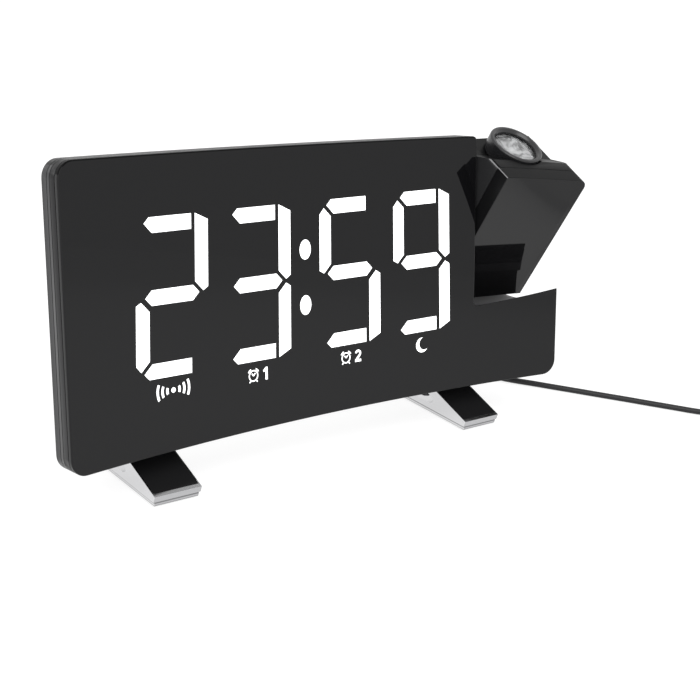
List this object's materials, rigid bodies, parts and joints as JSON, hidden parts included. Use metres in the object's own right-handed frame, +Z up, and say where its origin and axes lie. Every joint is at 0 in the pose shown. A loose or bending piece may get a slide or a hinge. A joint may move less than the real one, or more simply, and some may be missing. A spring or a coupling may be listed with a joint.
{
  "type": "projection alarm clock",
  "caption": "Concave L-shaped LED alarm clock on V-shaped feet, with a swivelling projector arm, rear keys, snooze bar, USB socket and power cord.",
  "frame": {"origin": "middle of the clock's width and depth, on the table under its feet (cord left out)", "axes": "+X to the right along the front as its reader sees it, +Y to the rear, +Z up; the front faces -Y and leans back 10 degrees"},
  "size_m": [0.2653, 0.1623, 0.0984],
  "materials": {
    "lens_black": "polished tinted acrylic",
    "segment_white": "lit translucent light guide",
    "segment_dark": "unlit light guide behind tinted acrylic",
    "reflector_white": "moulded white",
    "led_yellow": "LED chip",
    "board_green": "solder-masked circuit board",
    "shell_black": "satin moulded",
    "arm_black": "semi-gloss moulded",
    "part_black": "moulded",
    "key_grey": "satin moulded",
    "nylon": "natural",
    "steel": "plated",
    "chrome": "polished",
    "insert_black": "polished",
    "rubber_black": "matte",
    "brass": "plated spring strip",
    "aluminium": "plain",
    "optic_clear": "polished",
    "lcd": "polished",
    "cord_black": "satin vinyl"
  },
  "bodies": {
    "case": {"front_lens": "lens_black", "segments_lit": "segment_white", "segments_unlit": "segment_dark", "colon_dots": "segment_white", "display_block": "reflector_white", "display_leds": "led_yellow", "display_pcb": "board_green", "front_shell": "shell_black", "rear_shell": "shell_black", "main_pcb": "board_green", "board_header": "part_black", "tact_switches": "part_black", "power_pcb": "board_green", "usb_socket": "steel", "dc_jack": "part_black", "speaker": "part_black", "coin_cell": "steel", "battery_clip": "brass", "hinge_bush": "nylon", "hinge_washer": "nylon", "friction_spring": "steel", "rear_screws": "steel", "board_screws": "steel", "foot_left": "chrome", "foot_right": "chrome", "foot_insert_left": "insert_black", "foot_insert_right": "insert_black", "foot_pads": "rubber_black", "foot_screws": "steel", "dc_plug": "cord_black", "cord_run": "cord_black", "cord_coil": "cord_black", "cord_tail": "cord_black", "usb_plug": "cord_black", "usb_plug_shell": "steel"},
    "battery_door": {"battery_door": "shell_black"},
    "snooze_bar": {"snooze_bar": "key_grey"},
    "key_mode": {"key_mode": "key_grey"},
    "key_set": {"key_set": "key_grey"},
    "key_alarm": {"key_alarm": "key_grey"},
    "key_up": {"key_up": "key_grey"},
    "key_down": {"key_down": "key_grey"},
    "key_projector": {"key_projector": "key_grey"},
    "arm": {"arm_front_shell": "arm_black", "arm_rear_shell": "shell_black", "arm_axle": "steel", "hinge_retainer": "steel", "lens_barrel": "part_black", "led_board": "aluminium", "projector_led": "led_yellow", "condenser_lens": "optic_clear", "projector_lcd": "lcd", "arm_screws": "steel"},
    "focus": {"focus_ring": "arm_black"},
    "lens": {"lens_cell": "part_black", "projection_lens": "optic_clear"}
  },
  "joints": [
    {"name": "arm_tilt", "type": "hinge", "parent": "case", "child": "arm", "pos_m": [0.06, 0.00253, 0.06811], "axis": [1, 0, 0], "range_deg": [-125.3, 54.7]},
    {"name": "focus_turn", "type": "hinge", "parent": "arm", "child": "focus", "pos_m": [0.077, -0.00621, 0.09152], "axis": [0, -0.4274, 0.9041], "range_deg": [-90, 90]},
    {"name": "lens_travel", "type": "slide", "parent": "arm", "child": "lens", "axis": [0, -0.4274, 0.9041], "range_m": [-0.00075, 0.00075]},
    {"name": "snooze_press", "type": "slide", "parent": "case", "child": "snooze_bar", "axis": [0, -0.1736, -0.9848], "range_m": [0, 0.0007], "stiffness_N_per_m": 1200},
    {"name": "mode_press", "type": "slide", "parent": "case", "child": "key_mode", "axis": [0, -0.9848, 0.1736], "range_m": [0, 0.0005], "stiffness_N_per_m": 1000},
    {"name": "set_press", "type": "slide", "parent": "case", "child": "key_set", "axis": [0, -0.9848, 0.1736], "range_m": [0, 0.0005], "stiffness_N_per_m": 1000},
    {"name": "alarm_press", "type": "slide", "parent": "case", "child": "key_alarm", "axis": [0, -0.9848, 0.1736], "range_m": [0, 0.0005], "stiffness_N_per_m": 1000},
    {"name": "up_press", "type": "slide", "parent": "case", "child": "key_up", "axis": [0, -0.9848, 0.1736], "range_m": [0, 0.0005], "stiffness_N_per_m": 1000},
    {"name": "down_press", "type": "slide", "parent": "case", "child": "key_down", "axis": [0, -0.9848, 0.1736], "range_m": [0, 0.0005], "stiffness_N_per_m": 1000},
    {"name": "projector_press", "type": "slide", "parent": "case", "child": "key_projector", "axis": [0, -0.9848, 0.1736], "range_m": [0, 0.0005], "stiffness_N_per_m": 1000},
    {"name": "battery_door_slide", "type": "slide", "parent": "case", "child": "battery_door", "axis": [0, -0.1736, -0.9848], "range_m": [0, 0.012]}
  ],
  "couplings": [
    {"joint": "focus_turn", "follows": "lens_travel", "rad_per_m": 2094.4}
  ]
}
